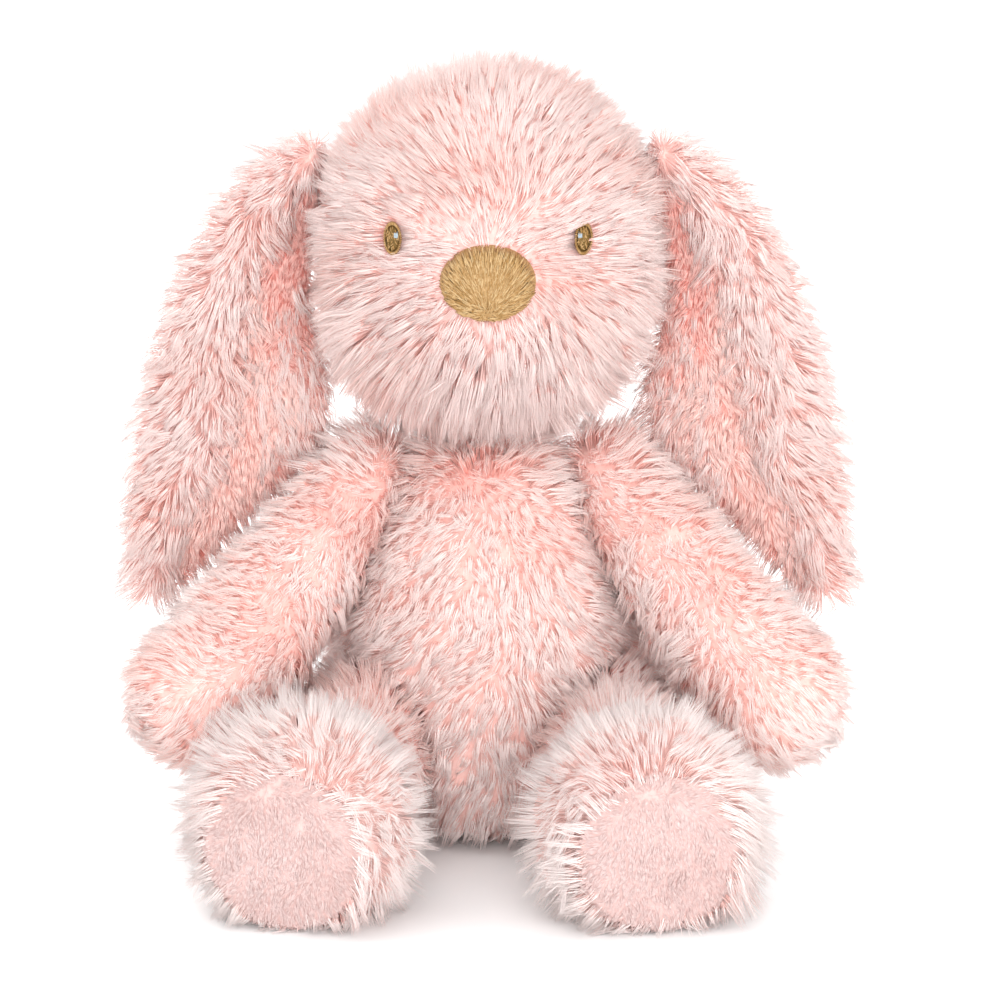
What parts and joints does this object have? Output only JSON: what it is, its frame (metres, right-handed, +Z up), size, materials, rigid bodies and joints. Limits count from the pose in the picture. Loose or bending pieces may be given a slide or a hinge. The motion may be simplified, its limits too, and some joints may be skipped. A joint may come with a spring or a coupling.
{
  "type": "plush rabbit",
  "caption": "Sitting plush rabbit with long lop ears, stuffed body and limbs, embroidered nose and eyes, and short-pile soles and ear linings.",
  "frame": {"origin": "middle of the box round the sitting rabbit, at the height of the surface it sits on", "axes": "+Z up, the rabbit faces -Y, and +X is on its own left"},
  "size_m": [0.2424, 0.215, 0.262],
  "materials": {
    "long_pile": "matte",
    "short_pile": "matte",
    "fibrefill": "matte",
    "gold_thread": "satin",
    "glint_thread": "satin",
    "sewing_thread": "matte",
    "label_tape": "satin"
  },
  "bodies": {
    "torso": {"torso_front_panel": "long_pile", "torso_back_panel_minus_x": "long_pile", "torso_back_panel_plus_x": "long_pile", "seat_panel": "long_pile", "torso_stuffing": "fibrefill", "back_seam_thread": "sewing_thread", "care_label": "label_tape", "tail_shell": "long_pile", "tail_stuffing": "fibrefill"},
    "neck": {"neck_stuffing": "fibrefill", "neck_seam_thread": "sewing_thread"},
    "head": {"head_side_panel_minus_x": "long_pile", "head_side_panel_plus_x": "long_pile", "head_gusset": "long_pile", "head_stuffing": "fibrefill", "nose_embroidery": "gold_thread", "eye_minus_x": "gold_thread", "eye_plus_x": "gold_thread", "eye_glint_minus_x": "glint_thread", "eye_glint_plus_x": "glint_thread"},
    "right_ear": {"ear_outer_minus_x": "long_pile", "ear_lining_minus_x": "short_pile"},
    "right_arm": {"arm_front_panel_minus_x": "long_pile", "arm_back_panel_minus_x": "long_pile", "arm_stuffing_minus_x": "fibrefill"},
    "right_leg": {"leg_outer_panel_minus_x": "long_pile", "leg_inner_panel_minus_x": "long_pile", "sole_minus_x": "short_pile", "leg_stuffing_minus_x": "fibrefill"},
    "left_ear": {"ear_outer_plus_x": "long_pile", "ear_lining_plus_x": "short_pile"},
    "left_arm": {"arm_front_panel_plus_x": "long_pile", "arm_back_panel_plus_x": "long_pile", "arm_stuffing_plus_x": "fibrefill"},
    "left_leg": {"leg_outer_panel_plus_x": "long_pile", "leg_inner_panel_plus_x": "long_pile", "sole_plus_x": "short_pile", "leg_stuffing_plus_x": "fibrefill"}
  },
  "joints": [
    {"name": "neck_turn", "type": "hinge", "parent": "torso", "child": "neck", "pos_m": [0, 0.03, 0.145], "axis": [0, 0, 1], "range_deg": [-15, 15]},
    {"name": "neck_nod", "type": "hinge", "parent": "neck", "child": "head", "pos_m": [0, 0.03, 0.145], "axis": [1, 0, 0], "range_deg": [-4, 12]},
    {"name": "right_ear_lift", "type": "hinge", "parent": "head", "child": "right_ear", "pos_m": [-0.054, 0.033, 0.228], "axis": [0, 1, 0], "range_deg": [0, 85]},
    {"name": "left_ear_lift", "type": "hinge", "parent": "head", "child": "left_ear", "pos_m": [0.054, 0.033, 0.228], "axis": [0, -1, 0], "range_deg": [0, 85]},
    {"name": "right_arm_swing", "type": "hinge", "parent": "torso", "child": "right_arm", "pos_m": [-0.04, 0.03, 0.121], "axis": [-1, 0, 0], "range_deg": [0, 65]},
    {"name": "left_arm_swing", "type": "hinge", "parent": "torso", "child": "left_arm", "pos_m": [0.04, 0.03, 0.121], "axis": [-1, 0, 0], "range_deg": [0, 65]},
    {"name": "right_leg_swing", "type": "hinge", "parent": "torso", "child": "right_leg", "pos_m": [-0.038, 0.008, 0.035], "axis": [-0.9703, 0.2419, 0], "range_deg": [-40, 4]},
    {"name": "left_leg_swing", "type": "hinge", "parent": "torso", "child": "left_leg", "pos_m": [0.038, 0.008, 0.035], "axis": [-0.989, -0.1478, 0], "range_deg": [-40, 4]}
  ]
}
